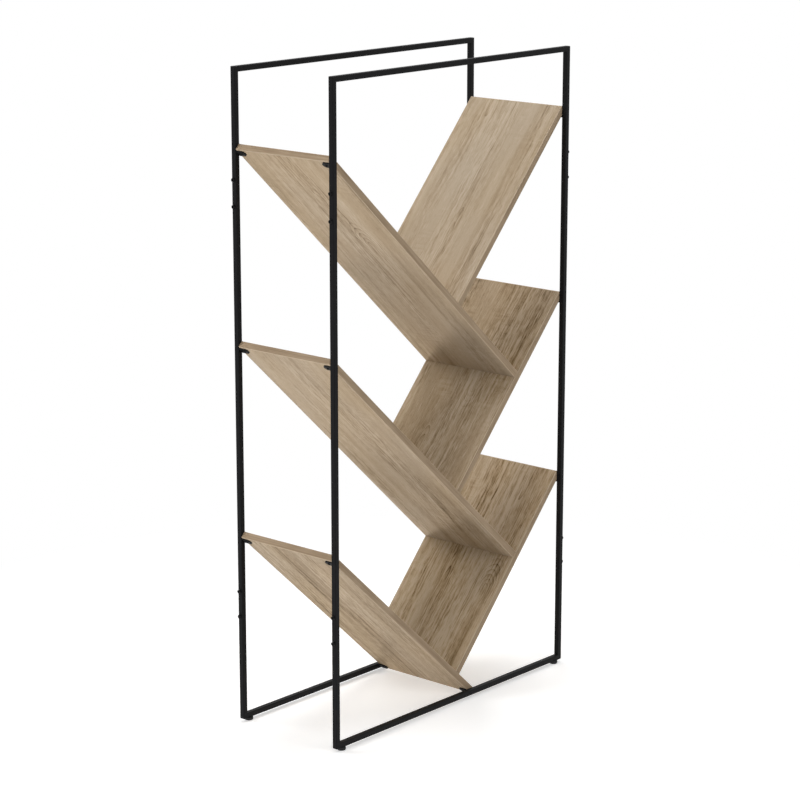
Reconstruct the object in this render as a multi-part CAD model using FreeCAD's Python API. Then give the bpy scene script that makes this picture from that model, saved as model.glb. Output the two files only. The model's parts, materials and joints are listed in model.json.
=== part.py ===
import FreeCAD, Part
import math
import os

# Zigzag bookshelf: two square tube frames, front and back, carry six laminated boards between them.
# The boards lean on each other at right angles in a herringbone, and stand on small steel tabs.
# Millimetres, +X to the right, +Y to the back, +Z up. The origin is on the floor below the middle.

Vector = FreeCAD.Vector

# Tube frames
frame_width = 820.0
frame_depth = 304.0
frame_height = 1510.0
end_section_height = 280.0
tube_side = 12.7
tube_wall = 1.2
tube_corner_radius = 1.6
least_bore_radius = 0.2
weld_corner_radius = 3.0

# Splices inside the posts and their screws
splice_length = 100.0
splice_clearance = 0.1
splice_edge_radius = 0.6
splice_screw_offset = 30.0
splice_screw_diameter = 5.0
splice_screw_head_diameter = 8.5
splice_screw_head_height = 5.0
splice_screw_head_edge_radius = 0.6
splice_screw_grip = 8.0
splice_screw_socket = 4.0
splice_screw_socket_depth = 2.5

# Boards
board_thickness = 16.0
board_side_clearance = 0.3
left_board_angle = 42.3
left_corner_height = 440.0
right_corner_height = 471.0
level_pitch = 444.0
level_names = ["bottom", "middle", "top"]
band_thickness = 2.0
band_edge_radius = 1.5

# Tabs welded to the frames, and the screws through them
tab_width = 16.0
tab_reach = 24.0
tab_thickness = 3.0
tab_end_margin = 4.0
tab_screw_reach = 13.0
tab_screw_diameter = 4.0
tab_screw_length = 12.0
tab_screw_head_diameter = 8.0
tab_screw_head_height = 2.4

# Hidden fittings where one board stands on another
dowel_diameter = 8.0
dowel_end_depth = 20.0
dowel_face_depth = 10.0
dowel_chamfer = 1.0
dowel_edge_distance = 38.0
fitting_edge_distance = 75.0
cam_diameter = 15.0
cam_height = 12.0
cam_recess = 0.3
cam_distance = 24.0
cam_bolt_thread_diameter = 6.0
cam_bolt_thread_length = 11.0
cam_bolt_collar_diameter = 7.6
cam_bolt_collar_length = 3.0
cam_bolt_neck_diameter = 5.0
cam_bolt_head_diameter = 7.0
cam_bolt_head_length = 6.5
cam_bolt_head_offset = 4.0
connecting_screw_shank_diameter = 7.0
connecting_screw_thread_diameter = 5.0
connecting_screw_thread_length = 34.0
connecting_screw_head_diameter = 10.0
connecting_screw_head_height = 3.0
connecting_screw_socket = 4.0
connecting_screw_socket_depth = 2.4

# Levelling feet
foot_height = 7.0
foot_inset = 23.0
foot_pad_diameter = 20.0
foot_pad_edge_radius = 2.5
foot_pad_top_chamfer = 0.6
foot_socket_depth = 5.0
foot_stem_diameter = 6.0
foot_stem_reach = 10.8
foot_stem_chamfer = 0.6
foot_nut_height = 5.0

# Clearances and small tool marks
hole_clearance = 0.1
running_clearance = 0.08
hole_end_clearance = 0.5
cross_recess_width = 1.1
cross_recess_share = 0.55
cross_recess_depth = 1.2
tool_overrun = 1.0

# Derived places in the frames
half_width = frame_width / 2
half_depth = frame_depth / 2
post_x = half_width - tube_side / 2
post_y = half_depth - tube_side / 2
inner_face_y = half_depth - tube_side
tube_bore = tube_side - 2 * tube_wall
bore_corner_radius = max(tube_corner_radius - tube_wall, least_bore_radius)
foot_nut_flats = tube_bore - 2 * (bore_corner_radius + running_clearance)
frame_bottom = foot_height
frame_top = foot_height + frame_height
lower_seam = frame_bottom + end_section_height
upper_seam = frame_top - end_section_height
left, right = -1, 1
front, back = -1, 1
side_names = {left: "left", right: "right"}
face_names = {front: "front", back: "back"}

# Derived places along the boards: each is measured down a board from its upper underside corner
sin_left = math.sin(math.radians(left_board_angle))
cos_left = math.cos(math.radians(left_board_angle))
corner_rise = right_corner_height - left_corner_height
board_depth = 2 * (inner_face_y - board_side_clearance)
right_length = frame_width * sin_left + corner_rise * cos_left - board_thickness
left_length = frame_width * cos_left + (level_pitch - corner_rise) * sin_left - board_thickness
left_bottom_length = left_corner_height / sin_left
right_on_left = frame_width * cos_left - corner_rise * sin_left - board_thickness / 2
left_on_right = frame_width * sin_left - (level_pitch - corner_rise) * cos_left - board_thickness / 2
dowel_v = board_depth / 2 - dowel_edge_distance
fitting_v = board_depth / 2 - fitting_edge_distance
tab_middle = tab_end_margin + tab_width / 2
tab_screw_v = inner_face_y - tab_screw_reach

nodes = {}


def cylinder(diameter, start, end):
    """Round bar on the local Z axis from height start to height end."""
    return Part.makeCylinder(diameter / 2, end - start, Vector(0, 0, start))


def box(low, high):
    """Box between two opposite corners."""
    size = high - low
    return Part.makeBox(size.x, size.y, size.z, low)


def hex_bar(flats, start, end):
    """Hexagonal bar on the local Z axis, with two of its flats facing along Y."""
    radius = flats / math.sqrt(3)
    turns = [math.radians(60 * step) for step in range(7)]
    corners = [Vector(radius * math.cos(turn), radius * math.sin(turn), start) for turn in turns]
    return Part.Face(Part.makePolygon(corners)).extrude(Vector(0, 0, end - start))


def cross_recess(head_diameter, start, end):
    """Cross-shaped driver recess on the local Z axis."""
    reach = head_diameter * cross_recess_share / 2
    half = cross_recess_width / 2
    along_x = box(Vector(-reach, -half, start), Vector(reach, half, end))
    along_y = box(Vector(-half, -reach, start), Vector(half, reach, end))
    return along_x.fuse(along_y)


def domed_head(diameter, height):
    """Screw head with a flat seat at Z = 0 and a dome below it."""
    radius = diameter / 2
    dome_radius = (radius ** 2 + height ** 2) / (2 * height)
    half_angle = math.asin(min(1.0, radius / dome_radius)) / 2
    centre_z = dome_radius - height
    middle = Vector(dome_radius * math.sin(half_angle), 0, centre_z - dome_radius * math.cos(half_angle))
    rim = Vector(radius, 0, 0)
    tip = Vector(0, 0, -height)
    seat = Part.makeLine(Vector(0, 0, 0), rim)
    dome = Part.Arc(rim, middle, tip).toShape()
    axis = Part.makeLine(tip, Vector(0, 0, 0))
    profile = Part.Face(Part.Wire([seat, dome, axis]))
    return profile.revolve(Vector(0, 0, 0), Vector(0, 0, 1), 360)


def cap_head(diameter, height, edge_radius):
    """Round screw head with a flat seat at Z = 0 and its top, with a rounded edge, below it."""
    head = cylinder(diameter, -height, 0)
    top_edges = [edge for edge in head.Edges if edge.BoundBox.ZMax < -height / 2]
    return head.makeFillet(edge_radius, top_edges)


def aimed(shape, place, direction):
    """Copy of a shape with its local Z axis along a direction and its origin at a place."""
    moved = shape.copy()
    moved.Placement = FreeCAD.Placement(place, FreeCAD.Rotation(Vector(0, 0, 1), direction))
    return moved


def in_board(shape, board_place):
    """Copy of a shape moved from a board's own axes into the bookshelf."""
    moved = shape.copy()
    moved.Placement = board_place.multiply(moved.Placement)
    return moved


def cut_all(shape, tools):
    """Shape with every tool cut away, as one clean solid."""
    return shape.cut(tools).removeSplitter() if tools else shape


# Square tubes

def rounded_bar(side, radius, length):
    """Square bar on the local Z axis with rounded long edges."""
    bar = Part.makeBox(side, side, length, Vector(-side / 2, -side / 2, 0))
    long_edges = [edge for edge in bar.Edges if abs(edge.tangentAt(edge.FirstParameter).z) > 0.5]
    return bar.makeFillet(radius, long_edges)


def square_tube(length):
    outer = rounded_bar(tube_side, tube_corner_radius, length)
    bore = rounded_bar(tube_bore, bore_corner_radius, length)
    return outer.cut(bore)


def upright(x_side, y_side, low, high):
    return aimed(square_tube(high - low), Vector(x_side * post_x, y_side * post_y, low), Vector(0, 0, 1))


def rail(y_side, middle_z):
    return aimed(square_tube(frame_width), Vector(-half_width, y_side * post_y, middle_z), Vector(1, 0, 0))


def prism(corners, y_side):
    """Triangle in the XZ plane, carried through the depth of one frame."""
    start_y = y_side * post_y - tube_side
    outline = [Vector(x, start_y, z) for x, z in corners]
    return Part.Face(Part.makePolygon(outline + outline[:1])).extrude(Vector(0, 2 * tube_side, 0))


def mitre_tool(x_side, y_side, z_side, for_rail):
    """Wedge that mitres a rail or a leg at one corner of a frame."""
    corner_z = frame_top if z_side > 0 else frame_bottom
    outer_x = x_side * (half_width + tube_side)
    outer_z = corner_z + z_side * tube_side
    inner_x = x_side * (half_width - 2 * tube_side)
    inner_z = corner_z - z_side * 2 * tube_side
    third = (outer_x, inner_z) if for_rail else (inner_x, outer_z)
    return prism([(outer_x, outer_z), (inner_x, inner_z), third], y_side)


def corner_tool(x_side, y_side, z_side):
    """What the weld grinder takes off the outside of a frame corner."""
    corner_z = frame_top if z_side > 0 else frame_bottom
    middle = Vector(x_side * (half_width - weld_corner_radius), 0, corner_z - z_side * weld_corner_radius)
    start_y = y_side * post_y - tube_side
    reach = weld_corner_radius + tool_overrun
    low_x = min(middle.x, middle.x + x_side * reach)
    low_z = min(middle.z, middle.z + z_side * reach)
    block = Part.makeBox(reach, 2 * tube_side, reach, Vector(low_x, start_y, low_z))
    start = Vector(middle.x, start_y, middle.z)
    return block.cut(Part.makeCylinder(weld_corner_radius, 2 * tube_side, start, Vector(0, 1, 0)))


def screw_hole_tool(x_side, y_side, z):
    """Hole for a splice screw through the outer wall of a post."""
    drill = cylinder(splice_screw_diameter + 2 * hole_clearance, -tool_overrun, tube_wall + tool_overrun)
    return aimed(drill, Vector(x_side * half_width, y_side * post_y, z), Vector(-x_side, 0, 0))


def foot_places(y_side):
    return [Vector(x_side * (half_width - foot_inset), y_side * post_y, frame_bottom) for x_side in (left, right)]


def foot_hole_tool(place):
    drill = cylinder(foot_stem_diameter + 2 * running_clearance, -tool_overrun, tube_wall + tool_overrun)
    return aimed(drill, place, Vector(0, 0, 1))


def build_frame(y_side):
    face = face_names[y_side]
    corners = [(x_side, z_side) for x_side in (left, right) for z_side in (-1, 1)]
    rail_cuts = [mitre_tool(x_side, y_side, z_side, True) for x_side, z_side in corners]
    round_cuts = [corner_tool(x_side, y_side, z_side) for x_side, z_side in corners]
    foot_cuts = [foot_hole_tool(place) for place in foot_places(y_side)]
    top_rail = rail(y_side, frame_top - tube_side / 2)
    bottom_rail = rail(y_side, frame_bottom + tube_side / 2)
    nodes[face + "_top_rail"] = cut_all(top_rail, rail_cuts + round_cuts)
    nodes[face + "_bottom_rail"] = cut_all(bottom_rail, rail_cuts + round_cuts + foot_cuts)
    for x_side in (left, right):
        name = face + "_" + side_names[x_side]
        upper_cuts = [mitre_tool(x_side, y_side, 1, False), corner_tool(x_side, y_side, 1)]
        lower_cuts = [mitre_tool(x_side, y_side, -1, False), corner_tool(x_side, y_side, -1)]
        upper_cuts.append(screw_hole_tool(x_side, y_side, upper_seam + splice_screw_offset))
        lower_cuts.append(screw_hole_tool(x_side, y_side, lower_seam - splice_screw_offset))
        post_cuts = [
            screw_hole_tool(x_side, y_side, upper_seam - splice_screw_offset),
            screw_hole_tool(x_side, y_side, lower_seam + splice_screw_offset),
        ]
        nodes[name + "_upper_leg"] = cut_all(upright(x_side, y_side, upper_seam, frame_top), upper_cuts)
        nodes[name + "_post"] = cut_all(upright(x_side, y_side, lower_seam, upper_seam), post_cuts)
        nodes[name + "_lower_leg"] = cut_all(upright(x_side, y_side, frame_bottom, lower_seam), lower_cuts)


# Splices and their screws

def build_splice(x_side, y_side, seam):
    side = tube_bore - 2 * splice_clearance
    bar = rounded_bar(side, splice_edge_radius, splice_length)
    bar.translate(Vector(x_side * post_x, y_side * post_y, seam - splice_length / 2))
    depth = splice_clearance + splice_screw_grip + hole_end_clearance
    drill = cylinder(splice_screw_diameter + 2 * hole_clearance, -tool_overrun, depth)
    outer_x = x_side * (half_width - tube_wall)
    places = [Vector(outer_x, y_side * post_y, seam + z_side * splice_screw_offset) for z_side in (-1, 1)]
    return cut_all(bar, [aimed(drill, place, Vector(-x_side, 0, 0)) for place in places])


def splice_screw():
    """Cap screw, its seat at Z = 0 and its thread along +Z."""
    reach = tube_wall + splice_clearance + splice_screw_grip
    head = cap_head(splice_screw_head_diameter, splice_screw_head_height, splice_screw_head_edge_radius)
    body = head.fuse(cylinder(splice_screw_diameter, 0, reach)).removeSplitter()
    bottom = splice_screw_socket_depth - splice_screw_head_height
    return body.cut(hex_bar(splice_screw_socket, -splice_screw_head_height - tool_overrun, bottom))


def build_splices():
    posts = [(x_side, y_side) for x_side in (left, right) for y_side in (front, back)]
    seams = {"upper": upper_seam, "lower": lower_seam}
    screws = []
    for name, seam in seams.items():
        splices = [build_splice(x_side, y_side, seam) for x_side, y_side in posts]
        nodes[name + "_splices"] = Part.makeCompound(splices)
        for x_side, y_side in posts:
            for z_side in (-1, 1):
                seat = Vector(x_side * half_width, y_side * post_y, seam + z_side * splice_screw_offset)
                screws.append(aimed(splice_screw(), seat, Vector(-x_side, 0, 0)))
    nodes["splice_screws"] = Part.makeCompound(screws)


# Boards. A board's own axes are X down the slope, Y across the depth and Z square to its upper face.

def left_place(level):
    corner = Vector(-half_width, 0, frame_bottom + left_corner_height + level * level_pitch)
    return FreeCAD.Placement(corner, FreeCAD.Rotation(Vector(0, 1, 0), left_board_angle))


def right_place(level):
    corner = Vector(half_width, 0, frame_bottom + right_corner_height + level * level_pitch)
    half_turn = FreeCAD.Rotation(Vector(0, 0, 1), 180)
    slope = FreeCAD.Rotation(Vector(0, 1, 0), 90 - left_board_angle)
    return FreeCAD.Placement(corner, half_turn.multiply(slope))


def across(distance):
    """The two places at a distance each side of a board's middle."""
    return [-distance, distance]


def pilot_holes(along, length):
    """Holes for a pair of tab screws in the underside of a board."""
    drill = cylinder(tab_screw_diameter + 2 * hole_clearance, -tool_overrun, length + hole_end_clearance)
    return [drill.translated(Vector(along, v, 0)) for v in across(tab_screw_v)]


def face_holes(along):
    """Dowel holes in the upper face, under the board that stands there."""
    start = board_thickness - dowel_face_depth - hole_end_clearance
    drill = cylinder(dowel_diameter + 2 * hole_clearance, start, board_thickness + tool_overrun)
    return [drill.translated(Vector(along, v, 0)) for v in across(dowel_v)]


def end_holes(length, diameter, depth, distance):
    """Holes drilled into the lower end of a board, in the middle of its thickness."""
    drill = cylinder(diameter + 2 * hole_clearance, -tool_overrun, depth + hole_end_clearance)
    middle = board_thickness / 2
    return [aimed(drill, Vector(length, v, middle), Vector(-1, 0, 0)) for v in across(distance)]


def cam_holes(length):
    drill = cylinder(cam_diameter + 2 * hole_clearance, -tool_overrun, cam_recess + cam_height + hole_clearance)
    return [drill.translated(Vector(length - cam_distance, v, 0)) for v in across(fitting_v)]


def cam_bolt_holes(along):
    start = board_thickness - cam_bolt_thread_length - hole_end_clearance
    drill = cylinder(cam_bolt_thread_diameter + 2 * hole_clearance, start, board_thickness + tool_overrun)
    return [drill.translated(Vector(along, v, 0)) for v in across(fitting_v)]


def countersink(diameter, shank, height):
    """Screw head that narrows from its flush face at Z = 0 to its shank."""
    return Part.makeCone(diameter / 2, shank / 2, height)


def connecting_holes(along):
    """Stepped holes for a pair of connecting screws, from the underside right through."""
    extra = 2 * hole_clearance
    shank = connecting_screw_shank_diameter + extra
    hole = cylinder(shank, -tool_overrun, board_thickness + tool_overrun)
    hole = hole.fuse(countersink(connecting_screw_head_diameter + extra, shank, connecting_screw_head_height))
    return [hole.translated(Vector(along, v, 0)) for v in across(fitting_v)]


def edge_strip(length, height, outward):
    """Edge band strip along +X with its outer long edges rounded, lying against Y = 0."""
    start_y = 0 if outward > 0 else -band_thickness
    strip = Part.makeBox(length, band_thickness, height, Vector(0, start_y, 0))
    outer_y = outward * band_thickness
    edges = []
    for edge in strip.Edges:
        ends = [vertex.Point for vertex in edge.Vertexes]
        at_outer_face = all(abs(point.y - outer_y) < band_thickness / 2 for point in ends)
        if at_outer_face and abs(ends[0].x - ends[1].x) > length / 2:
            edges.append(edge)
    return strip.makeFillet(band_edge_radius, edges)


def end_strip(along, outward):
    """Edge band across an end of a board, between the front and back strips."""
    span = board_depth - 2 * band_thickness
    strip = edge_strip(span, board_thickness, 1)
    turn = 90 if outward < 0 else -90
    place = Vector(along, outward * span / 2, 0)
    strip.Placement = FreeCAD.Placement(place, FreeCAD.Rotation(Vector(0, 0, 1), turn))
    return strip


def build_board(name, place, length, cuts, banded_lower_end):
    core_end = length - band_thickness if banded_lower_end else length
    core_half = board_depth / 2 - band_thickness
    core = box(Vector(band_thickness, -core_half, 0), Vector(core_end, core_half, board_thickness))
    strips = [edge_strip(length, board_thickness, y_side) for y_side in (front, back)]
    for y_side, strip in zip((front, back), strips):
        strip.translate(Vector(0, y_side * core_half, 0))
    strips.append(end_strip(band_thickness, -1))
    if banded_lower_end:
        strips.append(end_strip(core_end, 1))
    nodes[name] = in_board(cut_all(core, cuts), place)
    nodes[name + "_edge_band"] = Part.makeCompound([in_board(strip, place) for strip in strips])


def build_boards():
    for level, level_name in enumerate(level_names):
        lowest = level == 0
        highest = level == len(level_names) - 1
        length = left_bottom_length if lowest else left_length
        cuts = pilot_holes(tab_middle, tab_screw_length)
        cuts += face_holes(right_on_left) + cam_bolt_holes(right_on_left)
        if lowest:
            cuts += pilot_holes(length - tab_middle, tab_screw_length)
        else:
            cuts += end_holes(length, dowel_diameter, dowel_end_depth, dowel_v)
            thread = connecting_screw_thread_diameter
            cuts += end_holes(length, thread, connecting_screw_thread_length, fitting_v)
        build_board("left_" + level_name + "_shelf", left_place(level), length, cuts, lowest)
        cuts = pilot_holes(tab_middle, tab_screw_length) + cam_holes(right_length)
        cuts += end_holes(right_length, dowel_diameter, dowel_end_depth, dowel_v)
        cuts += end_holes(right_length, cam_bolt_collar_diameter, cam_distance, fitting_v)
        if not highest:
            cuts += face_holes(left_on_right) + connecting_holes(left_on_right)
        build_board("right_" + level_name + "_shelf", right_place(level), right_length, cuts, False)


# Tabs under the board ends

def tab(along, y_side):
    """Flat plate with a round tip, from a frame's inner face towards the middle, in a board's axes."""
    base_v = y_side * inner_face_y
    round_v = base_v - y_side * (tab_reach - tab_width / 2)
    tip_v = base_v - y_side * tab_reach
    low, high = along - tab_width / 2, along + tab_width / 2
    bottom = -tab_thickness
    outline = [
        Part.makeLine(Vector(low, round_v, bottom), Vector(low, base_v, bottom)),
        Part.makeLine(Vector(low, base_v, bottom), Vector(high, base_v, bottom)),
        Part.makeLine(Vector(high, base_v, bottom), Vector(high, round_v, bottom)),
        Part.Arc(
            Vector(high, round_v, bottom), Vector(along, tip_v, bottom), Vector(low, round_v, bottom)
        ).toShape(),
    ]
    plate = Part.Face(Part.Wire(outline)).extrude(Vector(0, 0, tab_thickness))
    drill = cylinder(tab_screw_diameter + 2 * hole_clearance, bottom - tool_overrun, tool_overrun)
    return plate.cut(drill.translated(Vector(along, y_side * tab_screw_v, 0)))


def tab_screw():
    """Pan-head screw up through a tab into a board, the board's underside at Z = 0."""
    head = domed_head(tab_screw_head_diameter, tab_screw_head_height)
    body = head.fuse(cylinder(tab_screw_diameter, 0, tab_thickness + tab_screw_length)).removeSplitter()
    bottom = cross_recess_depth - tab_screw_head_height
    recess = cross_recess(tab_screw_head_diameter, -tab_screw_head_height - tool_overrun, bottom)
    return body.cut(recess).translated(Vector(0, 0, -tab_thickness))


def build_tabs():
    screws = []

    def add_tab(name, place, along, own_side):
        nodes[name] = in_board(tab(along, own_side), place)
        screws.append(in_board(tab_screw().translated(Vector(along, own_side * tab_screw_v, 0)), place))

    for y_side in (front, back):
        face = face_names[y_side]
        for level, level_name in enumerate(level_names):
            add_tab("left_" + level_name + "_" + face + "_tab", left_place(level), tab_middle, y_side)
            add_tab("right_" + level_name + "_" + face + "_tab", right_place(level), tab_middle, -y_side)
        add_tab(face + "_rail_tab", left_place(0), left_bottom_length - tab_middle, y_side)
    nodes["tab_screws"] = Part.makeCompound(screws)


# Dowels, cam fittings and connecting screws

def dowel():
    """Dowel half in a board's upper face and half in the end of the board that stands on it."""
    low = board_thickness - dowel_face_depth
    high = board_thickness + dowel_end_depth
    bar = cylinder(dowel_diameter, low, high)
    rims = [edge for edge in bar.Edges if edge.Closed]
    return bar.makeChamfer(dowel_chamfer, rims)


def cam_bolt():
    """Bolt from a board's upper face into the cam of the board that stands on it."""
    face = board_thickness
    head_start = face + cam_distance - cam_bolt_head_offset
    bolt = cylinder(cam_bolt_thread_diameter, face - cam_bolt_thread_length, face)
    bolt = bolt.fuse(cylinder(cam_bolt_collar_diameter, face, face + cam_bolt_collar_length))
    bolt = bolt.fuse(cylinder(cam_bolt_neck_diameter, face, head_start))
    bolt = bolt.fuse(cylinder(cam_bolt_head_diameter, head_start, head_start + cam_bolt_head_length))
    return bolt.removeSplitter()


def cam_disc():
    """Cam in a board's underside, slotted for the neck and head of its bolt, which lies along +X."""
    disc = cylinder(cam_diameter, cam_recess, cam_recess + cam_height)
    head_x = cam_bolt_head_offset + hole_clearance
    head_end = cam_bolt_head_length - cam_bolt_head_offset + hole_clearance
    middle = board_thickness / 2
    neck = cylinder(cam_bolt_neck_diameter + 2 * running_clearance, -cam_diameter, 0)
    pocket = cylinder(cam_bolt_head_diameter + 2 * running_clearance, -head_x, head_end)
    along = Vector(-1, 0, 0)
    slot = aimed(neck, Vector(0, 0, middle), along).fuse(aimed(pocket, Vector(0, 0, middle), along))
    recess = cross_recess(cam_diameter, 0, cam_recess + cross_recess_depth)
    return disc.cut(slot).cut(recess)


def connecting_screw():
    """Screw from a board's underside, right through it and into the end of the board above."""
    shank = connecting_screw_shank_diameter
    body = countersink(connecting_screw_head_diameter, shank, connecting_screw_head_height)
    body = body.fuse(cylinder(shank, 0, board_thickness))
    thread_end = board_thickness + connecting_screw_thread_length
    body = body.fuse(cylinder(connecting_screw_thread_diameter, 0, thread_end)).removeSplitter()
    return body.cut(hex_bar(connecting_screw_socket, -tool_overrun, connecting_screw_socket_depth))


def build_fittings():
    dowels, bolts, cams, screws = [], [], [], []
    for level in range(len(level_names)):
        for v in across(dowel_v):
            dowels.append(in_board(dowel().translated(Vector(right_on_left, v, 0)), left_place(level)))
        for v in across(fitting_v):
            bolts.append(in_board(cam_bolt().translated(Vector(right_on_left, v, 0)), left_place(level)))
            cam_place = Vector(right_length - cam_distance, v, 0)
            cams.append(in_board(cam_disc().translated(cam_place), right_place(level)))
    for level in range(len(level_names) - 1):
        for v in across(dowel_v):
            dowels.append(in_board(dowel().translated(Vector(left_on_right, v, 0)), right_place(level)))
        for v in across(fitting_v):
            screw_place = Vector(left_on_right, v, 0)
            screws.append(in_board(connecting_screw().translated(screw_place), right_place(level)))
    nodes["dowels"] = Part.makeCompound(dowels)
    nodes["cam_bolts"] = Part.makeCompound(bolts)
    nodes["cam_discs"] = Part.makeCompound(cams)
    nodes["connecting_screws"] = Part.makeCompound(screws)


# Levelling feet, screwed fully in

def foot_pad():
    """Round pad on the local Z axis, its top at Z = 0, with a socket for the stem."""
    pad = cylinder(foot_pad_diameter, -foot_height, 0)
    rims = {round(edge.CenterOfMass.z, 3): edge for edge in pad.Edges if edge.Closed}
    pad = pad.makeFillet(foot_pad_edge_radius, [rims[min(rims)]])
    top_rim = max((edge for edge in pad.Edges if edge.Closed), key=lambda edge: edge.CenterOfMass.z)
    pad = pad.makeChamfer(foot_pad_top_chamfer, [top_rim])
    return pad.cut(cylinder(foot_stem_diameter + 2 * running_clearance, -foot_socket_depth, tool_overrun))


def foot_stem():
    """Threaded stem from the pad's socket up into the rail."""
    stem = cylinder(foot_stem_diameter, -foot_socket_depth, foot_stem_reach)
    top_rim = max((edge for edge in stem.Edges if edge.Closed), key=lambda edge: edge.CenterOfMass.z)
    return stem.makeChamfer(foot_stem_chamfer, [top_rim])


def foot_nut():
    """Hexagonal nut welded inside the rail, round the stem."""
    nut = hex_bar(foot_nut_flats, tube_wall, tube_wall + foot_nut_height)
    return nut.cut(cylinder(foot_stem_diameter + 2 * running_clearance, 0, tube_side))


def build_feet():
    nuts = []
    for y_side in (front, back):
        for x_side, place in zip((left, right), foot_places(y_side)):
            name = face_names[y_side] + "_" + side_names[x_side]
            nodes[name + "_foot_pad"] = foot_pad().translated(place)
            nodes[name + "_foot_stem"] = foot_stem().translated(place)
            nuts.append(foot_nut().translated(place))
    nodes["foot_nuts"] = Part.makeCompound(nuts)


build_frame(front)
build_frame(back)
build_splices()
build_boards()
build_tabs()
build_fittings()
build_feet()

os.makedirs("parts", exist_ok=True)
for node_name, node_shape in nodes.items():
    node_shape.exportStep("parts/" + node_name + ".step")
print(len(nodes), "nodes")
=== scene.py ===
import json
import math

import bpy
import numpy as np
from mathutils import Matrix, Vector


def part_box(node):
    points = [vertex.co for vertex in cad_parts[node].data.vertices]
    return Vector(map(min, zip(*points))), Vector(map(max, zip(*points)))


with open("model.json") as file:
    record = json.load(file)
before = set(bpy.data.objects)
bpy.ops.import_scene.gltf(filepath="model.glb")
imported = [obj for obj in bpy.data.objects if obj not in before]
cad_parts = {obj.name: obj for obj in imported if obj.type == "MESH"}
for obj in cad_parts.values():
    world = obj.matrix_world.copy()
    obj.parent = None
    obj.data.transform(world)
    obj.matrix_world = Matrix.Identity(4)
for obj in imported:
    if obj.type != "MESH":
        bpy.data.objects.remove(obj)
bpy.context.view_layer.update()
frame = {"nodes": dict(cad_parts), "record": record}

# Zigzag bookshelf: oak-look laminate boards between two black square-tube frames.
# Metres, +X to the right, +Y to the back, +Z up, the origin on the floor below the middle.

# Camera: a long lens from the front left, above the top of the frames
camera_place = (-4.4665, -3.8975, 2.1623)
camera_turn = 0.851
camera_tilt = -0.2393
camera_lens = 117.77
sensor_width = 36.0

# Studio: soft lamps round the bookshelf, two of them under the floor, which lets their light through
lamp_aim = (0.0, 0.0, 0.75)
lamp_distance = 3.5
overhead_place = (-0.3, 0.0, 6.0)
overhead_width = 5.0
overhead_power = 109.0
# Each lamp's direction in degrees, counted from the right towards the back, its height above
# the horizon in degrees, its width in metres and its power in watts
lamps = {
    "front_softbox": (268.0, 15.0, 1.4, 34.0),
    "front_left_softbox": (240.0, 20.0, 1.4, 12.0),
    "back_left_softbox": (135.0, 40.0, 1.4, 39.0),
    "back_right_softbox": (45.0, 60.0, 1.4, 29.0),
    "right_softbox": (0.0, 12.0, 1.4, 6.5),
    "high_right_softbox": (0.0, 68.0, 1.4, 24.5),
    "left_softbox": (180.0, 5.0, 1.4, 15.0),
    "high_left_softbox": (180.0, 25.0, 1.4, 6.5),
    "low_left_softbox": (180.0, -25.0, 1.4, 31.0),
    "under_floor_softbox": (70.0, -42.0, 0.8, 94.0),
}
room_level = 0.01
white = (1.0, 1.0, 1.0, 1.0)
floor_colour = (0.88, 0.88, 0.88, 1.0)
floor_lift = 0.44
floor_radius = 4.0
floor_clear_radius = 0.5
floor_white_radius = 1.5
floor_rings = 24
floor_spokes = 96

# How the boards lean
left_slope = math.radians(42.3)
right_slope = math.radians(90.0) - left_slope
left_turn = (0.0, left_slope, 0.0)
right_turn = (0.0, right_slope, math.pi)

# The range that most of a noise lies in, the wider one that the oak print uses, and a wave about zero
noise_range = (0.3, 0.7)
print_noise_range = (0.28, 0.72)
wave_range = (-0.5, 0.5)

# The oak print: staves side by side, each with its own tone and its own length of grain
stave_width = 0.07
stave_shift = 0.37
stave_jump = 7.0
stave_contrast = 0.16
stave_tone = 0.03

# Bends in the grain: cycles per metre along, across and through a board, and their reach in metres
sway_cycles = (2.0, 5.0, 60.0)
sway_reach = 0.03
shake_cycles = (16.0, 30.0, 60.0)
shake_reach = 0.007

# Layers of noise in the print, in the order of their seeds: cycles per metre along and across,
# octaves of detail, and whether a layer follows the bent grain or lies straight on the board
print_layers = {
    "clouds": (6.0, 16.0, 2.0, False),
    "bands": (0.9, 24.0, 1.0, True),
    "streaks": (2.2, 105.0, 3.0, True),
    "dashes": (45.0, 330.0, 2.0, True),
    "pores": (90.0, 1500.0, 1.0, True),
    "limed_flecks": (32.0, 420.0, 1.0, True),
    "veins": (2.6, 46.0, 3.0, True),
    "saw_marks": (170.0, 22.0, 2.0, False),
    "sawn_patches": (8.0, 11.0, 1.0, False),
    "cast": (3.0, 7.0, 1.0, False),
    "lines": (5.0, 250.0, 1.0, True),
    "busy_zones": (1.8, 20.0, 1.0, True),
}
first_layer_seed = 2
through_cycles = 80.0

# How much each layer adds to the tone: everywhere, by zone, or where its noise passes a range
plain_weights = {"clouds": 0.16, "bands": 0.2}
zoned_weights = {"streaks": 0.36, "lines": 0.27, "dashes": 0.36}
zone_noise_range = (0.4, 0.62)
zone_strengths = (0.22, 1.55)
pore_range = (0.55, 0.72)
spot_weights = {
    "pores": (pore_range, -0.25),
    "limed_flecks": ((0.62, 0.75), 0.3),
    "veins": ((0.56, 0.76), -0.32),
}
saw_mark_range = (0.35, 0.65)
sawn_patch_range = (0.56, 0.7)
saw_mark_weight = 0.18

# The print's colours from dark to pale tones, and how its saturation drifts
print_colours = [
    (0.0, (0.105, 0.070, 0.040)),
    (0.3, (0.268, 0.199, 0.127)),
    (0.62, (0.450, 0.352, 0.246)),
    (1.0, (0.575, 0.478, 0.363)),
]
cast_range = (0.35, 0.65)
cast_saturations = (1.06, 0.95)
pore_depth = -0.7

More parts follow.
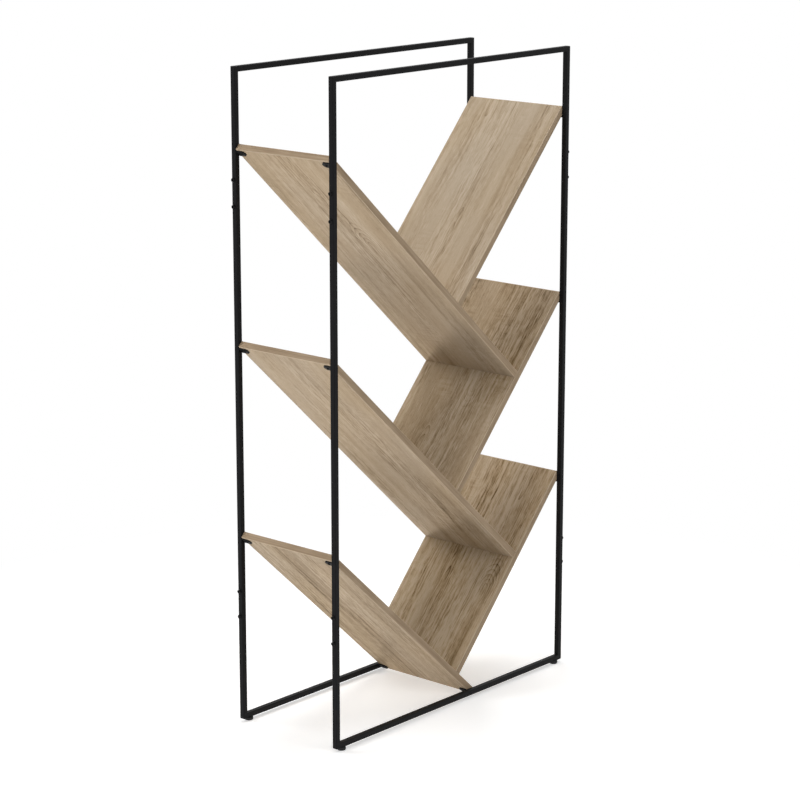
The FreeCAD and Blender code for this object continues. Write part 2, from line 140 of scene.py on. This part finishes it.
# Arched figures: growth rings that darken outwards, curled by the noise of the print
ring_spacing = 0.0065
ring_sharpness = 3.0
ring_depth = -0.6
ring_lift = 0.12
rim_start = 0.8
leg_reach = 3.0
curl_along = 0.05
curl_across = 0.015

# Edge bands: lines along each strip, clouds over them, and a painted highlight, a paler colour along the
# edges, from one height above a board's middle to another
band_line_cycles = (4.0, 4.0, 420.0)
band_line_weight = 0.5
band_cloud_cycles = (12.0, 12.0, 90.0)
band_cloud_weight = 0.4
band_middle_tone = 0.5
band_colours = [
    (0.0, (0.26, 0.184, 0.115)),
    (0.5, (0.385, 0.286, 0.190)),
    (1.0, (0.49, 0.377, 0.265)),
]
# Painted highlight: the heights where the band's edges turn paler, and that paler colour
arris_highlight_heights = (0.0066, 0.0074)
arris_highlight_colour = (0.54, 0.43, 0.31, 1.0)

# Each board's print: its seed, its middle tone, how far the grain strays from it, how warm it is, and its
# arched figures. The middle tones and warmth also carry painted light and shade: the bottom left board is
# printed darker as painted shade, and the right boards lighter and warmer as painted light and warm shade.
# A figure has its tip at x down the slope and y across from the board's middle, opens down
# the slope (1) or up it (-1), has an arch of a length and a half width in metres, and a strength.
board_looks = {
    "left_bottom": {"seed": 3.0, "tone": 0.51, "contrast": 0.7, "warmth_with_painted_shade": 1.0, "figures": [
        (0.12, -0.045, -1, 0.12, 0.014, 0.35),
    ]},
    "left_middle": {"seed": 11.0, "tone": 0.585, "contrast": 0.7, "warmth_with_painted_shade": 1.0, "figures": [
        (0.166, 0.0, -1, 0.2, 0.013, 0.4),
        (-0.234, 0.017, -1, 0.12, 0.015, 0.35),
    ]},
    "left_top": {"seed": 19.0, "tone": 0.605, "contrast": 0.7, "warmth_with_painted_shade": 1.0, "figures": [
        (-0.2, -0.04, 1, 0.1, 0.036, 0.6),
        (-0.244, 0.002, -1, 0.1, 0.012, 0.6),
    ]},
    "right_bottom": {"seed": 27.0, "tone": 0.72, "contrast": 1.2, "warmth_with_painted_shade": 1.14, "figures": [
        (-0.034, 0.1, 1, 0.09, 0.042, 0.7),
        (-0.134, 0.071, -1, 0.09, 0.012, 0.9),
        (-0.03, -0.027, 1, 0.1, 0.013, 0.8),
    ]},
    "right_middle": {"seed": 35.0, "tone": 0.675, "contrast": 1.2, "warmth_with_painted_shade": 1.1, "figures": [
        (0.075, 0.035, -1, 0.06, 0.03, 0.4),
        (0.12, -0.035, 1, 0.06, 0.016, 0.7),
        (-0.17, 0.045, -1, 0.1, 0.012, 0.4),
    ]},
    "right_top": {"seed": 43.0, "tone": 0.74, "contrast": 0.8, "warmth_with_painted_shade": 1.02, "figures": [
        (0.0, 0.008, 1, 0.12, 0.017, 0.4),
        (-0.19, -0.068, -1, 0.06, 0.012, 0.5),
        (-0.1, 0.115, 1, 0.2, 0.014, 0.3),
    ]},
}


# Short calls that build a node tree

class Recipe:
    """The node tree of a new material or world. Most calls add a node and give back what it puts out."""

    def __init__(self, owner):
        owner.use_nodes = True
        self.owner = owner
        self.tree = owner.node_tree
        self.tree.nodes.clear()

    def add(self, kind, inputs=None, **settings):
        node = self.tree.nodes.new(kind)
        for key, value in settings.items():
            setattr(node, key, value)
        for key, value in (inputs or {}).items():
            self.feed(node.inputs[key], value)
        return node

    def feed(self, socket, value):
        if isinstance(value, bpy.types.NodeSocket):
            self.tree.links.new(value, socket)
        else:
            socket.default_value = value

    def place(self):
        return self.add("ShaderNodeTexCoord").outputs["Object"]

    def math(self, operation, first, second=0.0, third=0.0):
        inputs = {0: first, 1: second, 2: third}
        return self.add("ShaderNodeMath", inputs, operation=operation).outputs[0]

    def stretch(self, value, old, new=(0.0, 1.0)):
        """Value moved from an old range to a new one, and held at the new range's ends."""
        inputs = {"Value": value, "From Min": old[0], "From Max": old[1], "To Min": new[0], "To Max": new[1]}
        return self.add("ShaderNodeMapRange", inputs).outputs[0]

    def swing(self, noise, reach, start):
        """Start moved by up to half of reach either way, by a noise from 0 to 1."""
        return self.math("MULTIPLY_ADD", self.math("SUBTRACT", noise, 0.5), reach, start)

    def scaled(self, vector, factors):
        inputs = {0: vector, 1: factors}
        return self.add("ShaderNodeVectorMath", inputs, operation="MULTIPLY").outputs[0]

    def noise(self, vector, scale=1.0, seed=0.0, detail=2.0):
        inputs = {"Vector": vector, "W": seed, "Scale": scale, "Detail": detail}
        return self.add("ShaderNodeTexNoise", inputs, noise_dimensions="4D").outputs["Fac"]

    def ramp(self, value, stops):
        """Colour from a list of (place, colour) stops."""
        node = self.add("ShaderNodeValToRGB", {"Fac": value})
        elements = node.color_ramp.elements
        while len(elements) < len(stops):
            elements.new(0.5)
        for element, (place, colour) in zip(elements, stops):
            element.position = place
            element.color = (*colour, 1.0)
        return node.outputs["Color"]

    def blend(self, noise, dark, light):
        """Colour from dark to light over the usual range of a noise."""
        return self.ramp(noise, list(zip(noise_range, (dark, light))))

    def mixed(self, share, first, second):
        node = self.add("ShaderNodeMix", data_type="RGBA")
        sockets = (node.inputs[0], node.inputs[6], node.inputs[7])
        for socket, value in zip(sockets, (share, first, second)):
            self.feed(socket, value)
        return node.outputs[2]

    def bump(self, height, distance, strength):
        inputs = {"Height": height, "Distance": distance, "Strength": strength}
        return self.add("ShaderNodeBump", inputs).outputs["Normal"]

    def surface(self, **inputs):
        """Ends the tree in one Principled surface, its socket names written with underscores."""
        named = {key.replace("_", " "): value for key, value in inputs.items()}
        shader = self.add("ShaderNodeBsdfPrincipled", named)
        self.add("ShaderNodeOutputMaterial", {"Surface": shader.outputs["BSDF"]})
        return self.owner


# Finishes of the boards

def board_axes(recipe, centre, turn):
    """A board's own axes from its middle: x down the slope, y across the depth, z square to its faces."""
    inputs = {"Vector": recipe.place(), "Location": centre, "Rotation": turn}
    return recipe.add("ShaderNodeMapping", inputs, vector_type="TEXTURE").outputs[0]


def stave_chance(recipe, across, seed):
    """A random number from 0 to 1 for each stave."""
    stave = recipe.math("FLOOR", recipe.math("MULTIPLY_ADD", across, 1 / stave_width, stave_shift * seed))
    inputs = {"W": recipe.math("ADD", stave, seed)}
    return recipe.add("ShaderNodeTexWhiteNoise", inputs, noise_dimensions="1D").outputs["Value"]


def noise_layers(recipe, board, grain, seed):
    """The layers of the print by name. Each differs on the two faces of the board."""
    layers = {}
    for step, (name, look) in enumerate(print_layers.items(), start=first_layer_seed):
        along_cycles, across_cycles, detail, follows_grain = look
        vector = grain if follows_grain else board
        drawn_out = recipe.scaled(vector, (along_cycles, across_cycles, through_cycles))
        layers[name] = recipe.noise(drawn_out, seed=seed + step, detail=detail)
    return layers


def print_tone(recipe, layers, chance):
    """Tone of the print about its middle: staves + plain layers + zoned layers + spots + saw marks."""
    tone = recipe.swing(chance, stave_contrast, stave_tone)
    for name, weight in plain_weights.items():
        wave = recipe.stretch(layers[name], print_noise_range, wave_range)
        tone = recipe.math("MULTIPLY_ADD", wave, weight, tone)
    zones = recipe.stretch(layers["busy_zones"], zone_noise_range, zone_strengths)
    for name, weight in zoned_weights.items():
        wave = recipe.stretch(layers[name], print_noise_range, wave_range)
        tone = recipe.math("MULTIPLY_ADD", recipe.math("MULTIPLY", wave, zones), weight, tone)
    for name, (spot_range, weight) in spot_weights.items():
        tone = recipe.math("MULTIPLY_ADD", recipe.stretch(layers[name], spot_range), weight, tone)
    marks = recipe.stretch(layers["saw_marks"], saw_mark_range, wave_range)
    patches = recipe.stretch(layers["sawn_patches"], sawn_patch_range)
    return recipe.math("MULTIPLY_ADD", recipe.math("MULTIPLY", marks, patches), saw_mark_weight, tone)


def arched_figure(recipe, along, across, x, y, opens, arch, half_width, strength):
    """Growth rings cut as nested arches, whose legs run on along the grain. With p the distance past the tip,
    r = sqrt((half_width min(p / arch - 1, 0))^2 + (across - y)^2). Each ring darkens outwards and ends
    sharply, and the figure fades at its rim and down its legs."""
    past = recipe.math("MULTIPLY", recipe.math("SUBTRACT", along, x), float(opens))
    bow = recipe.math("MINIMUM", recipe.math("MULTIPLY_ADD", past, half_width / arch, -half_width), 0.0)
    aside = recipe.math("SUBTRACT", across, y)
    squares = recipe.math("MULTIPLY_ADD", bow, bow, recipe.math("MULTIPLY", aside, aside))
    radius = recipe.math("SQRT", squares)
    ring = recipe.math("FRACT", recipe.math("DIVIDE", radius, ring_spacing))
    tone = recipe.math("MULTIPLY_ADD", recipe.math("POWER", ring, ring_sharpness), ring_depth, ring_lift)
    rim = recipe.stretch(radius, (rim_start * half_width, half_width), (strength, 0.0))
    legs = recipe.stretch(past, (arch, leg_reach * arch), (1.0, 0.0))
    return recipe.math("MULTIPLY", recipe.math("MULTIPLY", tone, rim), legs)


def oak_laminate(name, centre, turn, seed, tone, contrast, warmth_with_painted_shade, figures):
    """Printed oak: staves whose grain bends in a slow sway and a finer shake, with arched figures over it."""
    recipe = Recipe(bpy.data.materials.new(name))
    board = board_axes(recipe, centre, turn)
    along, across, height = recipe.add("ShaderNodeSeparateXYZ", {0: board}).outputs
    chance = stave_chance(recipe, across, seed)
    sway = recipe.noise(recipe.scaled(board, sway_cycles), seed=seed, detail=1.0)
    shake = recipe.noise(recipe.scaled(board, shake_cycles), seed=seed + 1.0)
    swayed = recipe.swing(sway, sway_reach, across)
    bent = recipe.swing(shake, shake_reach, swayed)
    own_along = recipe.math("MULTIPLY_ADD", chance, stave_jump, along)
    grain = recipe.add("ShaderNodeCombineXYZ", {"X": own_along, "Y": bent, "Z": height}).outputs[0]
    layers = noise_layers(recipe, board, grain, seed)

    grey = recipe.math("MULTIPLY", print_tone(recipe, layers, chance), contrast)
    curled_along = recipe.swing(layers["clouds"], curl_along, along)
    curled_across = recipe.swing(shake, curl_across, swayed)
    for figure in figures:
        grey = recipe.math("ADD", arched_figure(recipe, curled_along, curled_across, *figure), grey)
    # The board's middle tone and warmth hold painted light and shade as well as the print's own tone
    colour = recipe.ramp(recipe.math("ADD", grey, tone), print_colours)
    saturations = [warmth_with_painted_shade * saturation for saturation in cast_saturations]
    cast_inputs = {"Saturation": recipe.stretch(layers["cast"], cast_range, saturations), "Color": colour}
    colour = recipe.add("ShaderNodeHueSaturation", cast_inputs).outputs["Color"]

    rough = recipe.stretch(layers["dashes"], noise_range, new=(0.72, 0.62))
    pits = recipe.stretch(layers["pores"], pore_range)
    relief = recipe.math("MULTIPLY_ADD", pits, pore_depth, layers["dashes"])
    normal = recipe.bump(relief, distance=0.0002, strength=0.5)
    return recipe.surface(Base_Color=colour, Roughness=rough, Normal=normal, Specular_IOR_Level=0.04)


def oak_edge_band(name, centre, turn, seed):
    """Edge band: straight lines along each strip, browner than the face, with a painted highlight along its
    edges.
    """
    recipe = Recipe(bpy.data.materials.new(name))
    board = board_axes(recipe, centre, turn)
    lines = recipe.noise(recipe.scaled(board, band_line_cycles), seed=seed, detail=3.0)
    clouds = recipe.noise(recipe.scaled(board, band_cloud_cycles), seed=seed + 1.0)
    tone = band_middle_tone
    for noise, weight in ((clouds, band_cloud_weight), (lines, band_line_weight)):
        tone = recipe.math("MULTIPLY_ADD", recipe.stretch(noise, noise_range, wave_range), weight, tone)
    height = recipe.math("ABSOLUTE", recipe.add("ShaderNodeSeparateXYZ", {0: board}).outputs["Z"])
    # Painted highlight: the band's edges turn paler, as if light caught the rounded arris
    arris_highlight = recipe.stretch(height, arris_highlight_heights)
    colour = recipe.mixed(arris_highlight, recipe.ramp(tone, band_colours), arris_highlight_colour)
    rough = recipe.stretch(lines, noise_range, new=(0.6, 0.48))
    normal = recipe.bump(lines, distance=0.0001, strength=0.4)
    return recipe.surface(Base_Color=colour, Roughness=rough, Normal=normal, Specular_IOR_Level=0.06)


# Finishes of the frames, fittings and feet

def black_powder_coat(name):
    """Satin black powder coat with a fine orange-peel skin."""
    recipe = Recipe(bpy.data.materials.new(name))
    place = recipe.place()
    peel = recipe.noise(place, scale=700.0)
    flow = recipe.noise(place, scale=60.0, seed=4.0)
    colour = recipe.blend(flow, dark=(0.0055, 0.0055, 0.006), light=(0.009, 0.009, 0.0095))
    rough = recipe.stretch(flow, noise_range, new=(0.48, 0.58))
    normal = recipe.bump(peel, distance=0.00008, strength=0.5)
    return recipe.surface(Base_Color=colour, Roughness=rough, Normal=normal, Specular_IOR_Level=0.1)


def black_oxide(name):
    """Blackened screw steel, a little shinier than the tubes."""
    recipe = Recipe(bpy.data.materials.new(name))
    bloom = recipe.noise(recipe.place(), scale=400.0, detail=3.0)
    colour = recipe.blend(bloom, dark=(0.005, 0.005, 0.0055), light=(0.009, 0.009, 0.0095))
    rough = recipe.stretch(bloom, noise_range, new=(0.34, 0.46))
    return recipe.surface(Base_Color=colour, Roughness=rough, Specular_IOR_Level=0.12)


def bright_zinc(name):
    """Zinc plate with a faint spangle."""
    recipe = Recipe(bpy.data.materials.new(name))
    spangle = recipe.noise(recipe.place(), scale=300.0, detail=3.0)
    colour = recipe.blend(spangle, dark=(0.50, 0.50, 0.50), light=(0.66, 0.65, 0.61))
    rough = recipe.stretch(spangle, noise_range, new=(0.26, 0.4))
    return recipe.surface(Base_Color=colour, Metallic=1.0, Roughness=rough)


def raw_beech(name):
    """Turned beech with fine dark flecks."""
    recipe = Recipe(bpy.data.materials.new(name))
    flecks = recipe.noise(recipe.place(), scale=900.0)
    colour = recipe.blend(flecks, dark=(0.42, 0.27, 0.15), light=(0.62, 0.45, 0.28))
    normal = recipe.bump(flecks, distance=0.0001, strength=0.4)
    return recipe.surface(Base_Color=colour, Roughness=0.7, Normal=normal)


def black_moulded_plastic(name):
    """Moulded foot plastic with a fine matt grain."""
    recipe = Recipe(bpy.data.materials.new(name))
    grain = recipe.noise(recipe.place(), scale=1600.0)
    colour = recipe.blend(grain, dark=(0.010, 0.010, 0.010), light=(0.018, 0.018, 0.018))
    rough = recipe.stretch(grain, noise_range, new=(0.5, 0.62))
    normal = recipe.bump(grain, distance=0.00005, strength=0.5)
    return recipe.surface(Base_Color=colour, Roughness=rough, Normal=normal, Specular_IOR_Level=0.3)


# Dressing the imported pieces

def dress(node, material):
    frame["nodes"][node].material_slots[0].material = material


def dress_boards():
    for board, look in board_looks.items():
        turn = left_turn if board.startswith("left") else right_turn
        low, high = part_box(board + "_shelf")
        centre = (low + high) / 2
        laminate = oak_laminate(board + "_laminate", centre, turn, **look)
        band = oak_edge_band(board + "_edge_band", centre, turn, look["seed"])
        dress(board + "_shelf", laminate)
        dress(board + "_shelf_edge_band", band)


def dress_frames():
    finishes = {
        "powder_coat": black_powder_coat("powder_coat"),
        "black_screw": black_oxide("black_screw"),
        "zinc_steel": bright_zinc("zinc_steel"),
        "dowel_beech": raw_beech("dowel_beech"),
        "foot_plastic": black_moulded_plastic("foot_plastic"),
    }
    for subpart in frame["record"]["subparts"]:
        if subpart["material_slot"] in finishes:
            dress(subpart["node"], finishes[subpart["material_slot"]])


# Studio

def seen_directly(recipe):
    """1 for rays from the camera and for reflections and views through glass, else 0."""
    path = recipe.add("ShaderNodeLightPath")
    rays = [path.outputs[name] for name in ("Is Camera Ray", "Is Glossy Ray", "Is Transmission Ray")]
    return recipe.math("MAXIMUM", recipe.math("MAXIMUM", rays[0], rays[1]), rays[2])


def studio_floor():
    """White floor that keeps the soft shadow close to the bookshelf and fades to plain white further out."""
    recipe = Recipe(bpy.data.materials.new("studio_floor"))
    seen = seen_directly(recipe)
    reach = recipe.add("ShaderNodeVectorMath", {0: recipe.place()}, operation="LENGTH").outputs["Value"]
    distance = recipe.stretch(reach, (floor_clear_radius, floor_white_radius))
    fade = recipe.math("MULTIPLY", distance, seen)
    matt = recipe.add("ShaderNodeBsdfDiffuse", {"Color": floor_colour}).outputs[0]
    lift_inputs = {"Color": white, "Strength": recipe.math("MULTIPLY", seen, floor_lift)}
    lift = recipe.add("ShaderNodeEmission", lift_inputs).outputs[0]
    near = recipe.add("ShaderNodeAddShader", {0: matt, 1: lift}).outputs[0]
    far = recipe.add("ShaderNodeEmission", {"Color": white, "Strength": 1.0}).outputs[0]
    mixed = recipe.add("ShaderNodeMixShader", {0: fade, 1: near, 2: far}).outputs[0]
    recipe.add("ShaderNodeOutputMaterial", {"Surface": mixed})
    return recipe.owner


def add_floor():
    """Round floor of rings round its middle: points at radius r and angle a lie at (r cos a, r sin a, 0)."""
    radii = np.linspace(0.0, floor_radius, floor_rings + 1)[1:]
    angles = np.linspace(0.0, 2 * math.pi, floor_spokes, endpoint=False)
    grid_r, grid_a = np.meshgrid(radii, angles, indexing="ij")
    points = np.stack([grid_r * np.cos(grid_a), grid_r * np.sin(grid_a), 0 * grid_r], axis=-1)
    points = np.vstack([points.reshape(-1, 3), np.zeros((1, 3))])
    middle = len(points) - 1
    ring, spoke = np.meshgrid(np.arange(floor_rings - 1), np.arange(floor_spokes), indexing="ij")
    after = (spoke + 1) % floor_spokes
    inner = ring * floor_spokes
    outer = inner + floor_spokes
    quads = np.stack([inner + spoke, outer + spoke, outer + after, inner + after], axis=-1).reshape(-1, 4)
    fan = np.stack([np.full(floor_spokes, middle), spoke[0], after[0]], axis=-1)
    mesh = bpy.data.meshes.new("floor")
    mesh.from_pydata(points.tolist(), [], quads.tolist() + fan.tolist())
    floor = bpy.data.objects.new("floor", mesh)
    bpy.context.scene.collection.objects.link(floor)
    floor.data.materials.append(studio_floor())
    floor.visible_shadow = False


def set_world():
    """White where it is seen, and an even dim room for light."""
    world = bpy.data.worlds.new("studio")
    bpy.context.scene.world = world
    recipe = Recipe(world)
    strength = recipe.stretch(seen_directly(recipe), (0.0, 1.0), (room_level, 1.0))
    background = recipe.add("ShaderNodeBackground", {"Color": white, "Strength": strength})
    recipe.add("ShaderNodeOutputWorld", {"Surface": background.outputs[0]})


def add_lamp(name, place, width, power):
    """Square soft lamp that faces the bookshelf and isn't seen itself, nor in reflections."""
    lamp = bpy.data.lights.new(name, "AREA")
    lamp.shape = "SQUARE"
    lamp.size = width
    lamp.energy = power
    holder = bpy.data.objects.new(name, lamp)
    holder.location = place
    holder.rotation_euler = (Vector(lamp_aim) - Vector(place)).to_track_quat("-Z", "Y").to_euler()
    holder.visible_camera = False
    holder.visible_glossy = False
    bpy.context.scene.collection.objects.link(holder)


def add_lamps():
    add_lamp("overhead_softbox", overhead_place, overhead_width, overhead_power)
    for name, (azimuth, elevation, width, power) in lamps.items():
        turn = math.radians(azimuth)
        rise = math.radians(elevation)
        level = math.cos(rise)
        direction = Vector((level * math.cos(turn), level * math.sin(turn), math.sin(rise)))
        add_lamp(name, Vector(lamp_aim) + lamp_distance * direction, width, power)


def add_camera():
    camera = bpy.data.cameras.new("camera")
    camera.lens = camera_lens
    camera.sensor_width = sensor_width
    holder = bpy.data.objects.new("camera", camera)
    holder.location = camera_place
    holder.rotation_euler = (math.pi / 2 + camera_tilt, 0.0, -camera_turn)
    bpy.context.scene.collection.objects.link(holder)
    bpy.context.scene.camera = holder


dress_boards()
dress_frames()
add_floor()
set_world()
add_lamps()
add_camera()
bpy.context.scene.view_settings.view_transform = "Standard"
